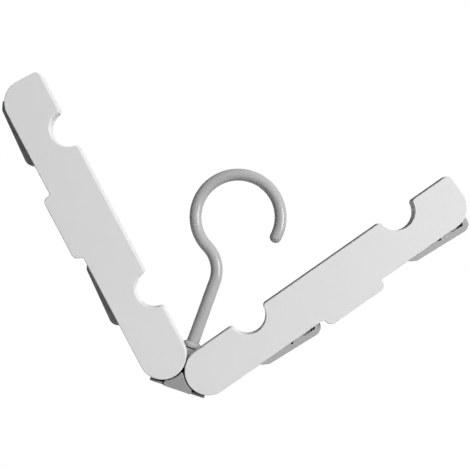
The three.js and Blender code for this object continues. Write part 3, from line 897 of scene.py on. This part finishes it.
def makeArm(sizes, peg, name):
    side = -1 if name == "left" else 1
    lean = radians(sizes["lean"][name])
    spot = jointSpot[name + "_arm_fold"]
    place = standing(spot, Vector((side * sin(lean), 0, cos(lean))))
    body = name + "_arm"
    path = mirrored(armPath(sizes), side)
    wall, seam, top = sizes["wall"], sizes["wall"] + sizes["seam"], sizes["thick"]
    floor = top - wall
    deep = floor + over  # bosses and ribs run a little into the tray's floor
    across = sizes["pegInset"][name] - sizes["half"]
    screws = [(x, side * y) for x, y in sizes["screws"]]
    pins = [(along, side * across) for along in sizes["pegs"]]
    pivot = [(0, 0)]

    def pockets(grow, edge, low, high):
        pegs = [(along, across, sizes["handle"][name]) for along in sizes["pegs"]]
        return [slab("pocket", mirrored(pocketPath(peg, one, grow, edge), side), low, high) for one in pegs]

    tray = slab(name + "ArmFrontPiece", path, seam, top)
    roundRim(tray, top, sizes["edgeRound"], steps=6)
    pickFloor(tray, seam)
    bpy.ops.mesh.inset(thickness=wall, depth=0)
    extrude(0, 0, floor - seam)
    faceOut()
    frames = together(pockets(peg["rib"], over - sizes["half"], seam, deep))
    combine(frames, [within("inside", path, wall / 2, seam - over, deep + over / 2)], "INTERSECT")
    weld(tray, frames)
    pivotBoss = bars(pivot, sizes["pivotBoss"], seam, deep)
    weld(tray, *bars(screws, sizes["boss"], seam, deep), *pivotBoss)
    cut(tray, *pockets(0.0, sizes["slotLow"], seam - over, floor))
    screwHoles = bars(screws, sizes["screwHole"], 0, sizes["screwDepth"])
    pivotHole = bars(pivot, sizes["pivotHole"], 0, sizes["pivotDepth"])
    cut(tray, *bars(pins, peg["pin"], seam, deep), *screwHoles, *pivotHole)
    closeUp(tray, sliver=0.015)
    smoothed(tray)
    settle(tray, place)
    finishPiece(tray, name + "_arm_front_shell", body, whitePlastic)

    plate = slab(name + "ArmBackPiece", path, 0.0, wall)
    roundRim(plate, 0.0, sizes["backRound"], steps=4)
    sinks = bars(screws, sizes["sink"], -over, sizes["sinkDepth"])
    cut(plate, *sinks, *bars(pins, peg["pin"], sizes["pinSeat"], wall + over))
    pivotHole = bars(pivot, sizes["pivotHole"], -over, wall + over)
    cut(plate, *bars(screws, sizes["screwHole"], -over, wall + over), *pivotHole)
    smoothed(plate)
    settle(plate, place)
    finishPiece(plate, name + "_arm_back_shell", body, whitePlastic)

    names = [name + "_arm_" + end + "_screw" for end in ("hub_end", "middle", "tip")]
    placeScrews(armScrew, screws, names, place, body)
    print(name, "arm made")


for armName in ("left", "right"):
    makeArm(armSizes, pegSizes, armName)


# Pegs: rocking levers with a finger window and a dimple, and their springs

def leverPath(sizes):
    slope = tan(radians(sizes["slope"]))
    rakeFoot = sizes["jawRake"] - sizes["jaw"]
    handleEnd = -sizes["belly"] - sizes["handle"] * slope
    boss, top = sizes["boss"], sizes["handleTop"]
    lift = degrees(asin(top / boss))
    return [
        (rakeFoot, -sizes["belly"] - rakeFoot * slope, sizes["jawCorner"]),
        (sizes["handle"], handleEnd, sizes["corner"]),
        (sizes["handle"], top, sizes["topCorner"]),
        (0, 0, boss, lift, 180),
        (-boss, -sizes["jawDepth"], sizes["heel"]),
        (-sizes["jaw"], -sizes["jawDepth"]),
        (-sizes["jaw"], -sizes["jawDepth"] - sizes["jawLip"]),
    ]


def slopeTool(sizes):  # takes a corner off the handle's end at 45 degrees
    tilt, reach = pi / 4, sizes["handle"]
    slopeTop = Vector((sizes["handle"] - sizes["endSlope"], 0, sizes["face"]))
    clearPick()
    spot = slopeTop + Vector((sin(tilt), 0, cos(tilt))) * reach
    bpy.ops.mesh.primitive_cube_add(size=2 * reach, location=spot, rotation=(0, tilt, 0))
    applyPlace()
    return bpy.context.object


def windowPath(sizes):
    first, last, high, low = sizes["window"]
    slope = tan(radians(sizes["slope"]))
    points = [(first, low - first * slope), (last, low - last * slope), (last, high), (first, high)]
    return [(x, y, sizes["windowCorner"]) for x, y in points]


def makeLever(sizes):
    face, faceTop, proud = sizes["face"], sizes["faceTop"], sizes["front"] + over

    def roundsFace(edge):  # the finger face's edge, apart from the one below the boss
        return atLevel(edge, face) and min(v.co.y for v in edge.verts) < faceTop - 0.01

    piece = slab("pegLeverPattern", leverPath(sizes), sizes["back"], sizes["front"], chord=0.4)
    roundRim(piece, sizes["back"], sizes["backRound"], steps=4)
    left, right, low = -sizes["jaw"] - over, sizes["handle"] + over, -2 * sizes["belly"]
    cut(piece, slab("face", [(left, low), (right, low), (right, faceTop), (left, faceTop)], face, proud))
    openUp(piece)
    pick(piece, "EDGE", roundsFace)
    roundPicked(sizes["edgeRound"], steps=4)
    cut(piece, slopeTool(sizes))
    middle, half, room = (sizes["back"] + sizes["front"]) / 2, sizes["springHalf"], sizes["springRoom"]
    along, across = sizes["springReach"]
    coilRoom = [(-room, across), (0, 0, room, 180, 270), (along, -room), (along, across)]
    cut(piece, slab("coil", coilRoom, middle - half, middle + half))
    deep = face - sizes["recess"]
    cut(piece, slab("window", windowPath(sizes), deep, proud, chord=0.3))
    x, y, radius = sizes["dimple"]
    cut(piece, *bars([(x, y)], radius, deep, proud, sides=28))
    cut(piece, *bars([(0, 0)], sizes["pin"], 0, proud + over))
    smoothed(piece)
    return piece


springSizes = {
    "wire": 0.3,
    "sides": 10,
    "coil": 1.85,
    "half": 1.286,  # half the coil's width
    "middle": 6.0,
    "turn": 881.5,
    "stepTurn": 15,
    "leg": 10.0,
    "farLeg": 11.16,
    "lean": 18.5,
    "bends": 1.4,  # the height on either side of the pin where the wire gives
}


def makeSpring(sizes):  # one torsion spring: lower leg, coil, upper leg
    start = (sizes["leg"], -sizes["coil"], sizes["middle"] - sizes["half"])
    piece = disc("pegSpringPattern", sizes["wire"], sizes["sides"], start, tilt=(0, pi / 2, 0))
    extrude(-sizes["leg"], 0, 0)
    steps = ceil(sizes["turn"] / sizes["stepTurn"])
    turn, rise = radians(sizes["turn"] / steps), 2 * sizes["half"] / steps
    for i in range(steps):  # wind it a step at a time, rising as it goes
        bpy.ops.mesh.spin(steps=1, angle=turn, center=(0, 0, 0), axis=(0, 0, 1))
        bpy.ops.transform.translate(value=(0, 0, rise))
    lean = radians(sizes["lean"])
    extrude(sizes["farLeg"] * cos(lean), sizes["farLeg"] * sin(lean), 0)
    faceOut()
    smoothed(piece, angle=50)
    return piece


def placePegs(arm, lever, spring):
    for name in ("left", "right"):
        side = -1 if name == "left" else 1
        lean = radians(arm["lean"][name])
        along = Vector((side * sin(lean), 0, cos(lean)))
        handleWay = along * arm["handle"][name]
        for end in ("inner", "outer"):
            peg = name + "_" + end + "_peg"
            spot = jointSpot[peg + "_press"].copy()
            spot.y = jointSpot[name + "_arm_fold"].y
            place = standing(spot, handleWay)
            piece = copyOf(lever, name + end.capitalize() + "LeverPiece")
            settle(piece, place)
            finishPiece(piece, peg + "_lever", peg, leverGrey)
            coil = copyOf(spring, name + end.capitalize() + "SpringPiece")
            settle(coil, place)
            finishPiece(coil, peg + "_spring", None, steel)
            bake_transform(coil)


pegLever = makeLever(pegSizes)
pegSpring = makeSpring(springSizes)
placePegs(armSizes, pegLever, pegSpring)
for pattern in (armScrew, hubScrew, pegLever, pegSpring):
    bpy.data.objects.remove(pattern)
print("pegs made")


# Hidden pieces that keep their CAD shape get their finish

for node, piece in frame["nodes"].items():
    if not piece.hide_render:
        piece.data.materials.clear()
        piece.data.materials.append(nylon if "washer" in node else steel)
print("inner pieces finished")


# Camera, light and floor

viewSizes = {
    "roll": 18.75,  # how far the hanger leans to the right in the picture
    "aim": (0.0034, 0.0828),  # where the line of sight meets the arms' faces, from the pivots
    "distance": 0.55,
    "across": 0.282,  # width of the picture at the arms' faces
    "face": 0.0123,
    "sensor": 36,
    "clip": (0.05, 20),
}


def makeCamera(sizes):
    faceY = hubSpot.y - sizes["face"]
    aim = Vector((hubSpot.x + sizes["aim"][0], faceY, hubSpot.z + sizes["aim"][1]))
    eye = aim + front * sizes["distance"]
    look = (aim - eye).normalized()
    roll = radians(sizes["roll"])
    upHint = Vector((-sin(roll), 0, cos(roll)))
    right = look.cross(upHint).normalized()
    up = right.cross(look)
    data = bpy.data.cameras.new("pictureCamera")
    data.sensor_width = sizes["sensor"]
    data.lens = sizes["sensor"] * (aim - eye).length / sizes["across"]
    data.clip_start, data.clip_end = sizes["clip"]
    camera = bpy.data.objects.new("pictureCamera", data)
    bpy.context.scene.collection.objects.link(camera)
    camera.matrix_world = Matrix.Translation(eye) @ Matrix((right, up, -look)).transposed().to_4x4()
    bpy.context.scene.camera = camera
    return aim, right, up, -look


aim, imageRight, imageUp, imageNear = makeCamera(viewSizes)

lightSizes = {
    # side, height and nearness in the picture's own directions, width, height, watts
    "key": ((0.65, 0.43, 0.63), 0.7, 0.7, 41.5),
    "strip": ((0.79, 0.0, 0.613), 1.0, 0.65, 37.0),
    "back": ((0.3, -0.1, -1.0), 0.8, 0.8, 15.0),
    "away": 1.8,
    "ambient": 0.09,
    "behind": 0.075,  # how much brighter the room is behind the hanger than in front
}


def makeLight(name, way, wide, tall, watts):
    toward = (imageRight * way[0] + imageUp * way[1] + imageNear * way[2]).normalized()
    data = bpy.data.lights.new(name, "AREA")
    data.shape = "RECTANGLE"
    data.size, data.size_y = wide, tall
    data.energy = watts
    lamp = bpy.data.objects.new(name, data)
    bpy.context.scene.collection.objects.link(lamp)
    lamp.location = aim + toward * lightSizes["away"]
    lamp.rotation_mode = "QUATERNION"
    lamp.rotation_quaternion = (-toward).to_track_quat("-Z", "Y")
    return lamp


keyLight = makeLight("keyLight", *lightSizes["key"])
keyLight.visible_glossy = False
stripLight = makeLight("stripLight", *lightSizes["strip"])
stripLight.visible_diffuse = False  # it only draws the shine along the hook
makeLight("backLight", *lightSizes["back"])

floorSizes = {
    "level": -0.42,
    "wide": 1.0,
    "thick": 0.02,
    "tones": (0.80, 0.84),
    "toneScale": 6.0,
    "roughness": 0.7,
}


def makeFloor(sizes):
    clearPick()
    bpy.ops.mesh.primitive_plane_add(size=sizes["wide"], location=(aim.x, 0, sizes["level"]))
    floor = bpy.context.object
    floor.name = "paleFloor"
    bpy.ops.object.mode_set(mode="EDIT")
    bpy.ops.mesh.select_all(action="SELECT")
    extrude(0, 0, -sizes["thick"])
    bpy.ops.mesh.select_all(action="SELECT")
    bpy.ops.mesh.normals_make_consistent(inside=False)
    clearPick()
    material, f = newFinish("floorFinish")
    tone = f.noise(f.place(), sizes["toneScale"], detail=3.0)
    dark, pale = sizes["tones"]
    f.surface({"Base Color": f.mix(tone, grey(dark), grey(pale)), "Roughness": sizes["roughness"]})
    floor.data.materials.append(material)


def makeRoom(sizes):  # soft light all round, and a white background where the eye or a shine meets it
    world = bpy.data.worlds.new("studio")
    bpy.context.scene.world = world
    world.use_nodes = True
    f = Finish(world.node_tree)
    ways = ("Is Camera Ray", "Is Glossy Ray", "Is Transmission Ray")
    eye, shine, through = [f.add("ShaderNodeLightPath", output=way) for way in ways]
    seen = f.add("ShaderNodeMath", {"operation": "ADD", "use_clamp": True}, {0: eye + shine, 1: through})
    outward = f.add("ShaderNodeTexCoord", output="Generated")
    depth = f.add("ShaderNodeSeparateXYZ", None, {0: outward}, "Y")
    level = sizes["ambient"] + depth * sizes["behind"]
    soft = f.add("ShaderNodeBackground", None, {"Color": grey(1.0), "Strength": level})
    white = f.add("ShaderNodeBackground", None, {"Color": grey(1.0), "Strength": 1.0})
    both = f.add("ShaderNodeMixShader", None, {0: seen, 1: soft, 2: white})
    f.add("ShaderNodeOutputWorld", None, {0: both})


makeFloor(floorSizes)
makeRoom(lightSizes)
bpy.context.scene.view_settings.view_transform = "Standard"
print("camera, light and floor set")

clearPick()
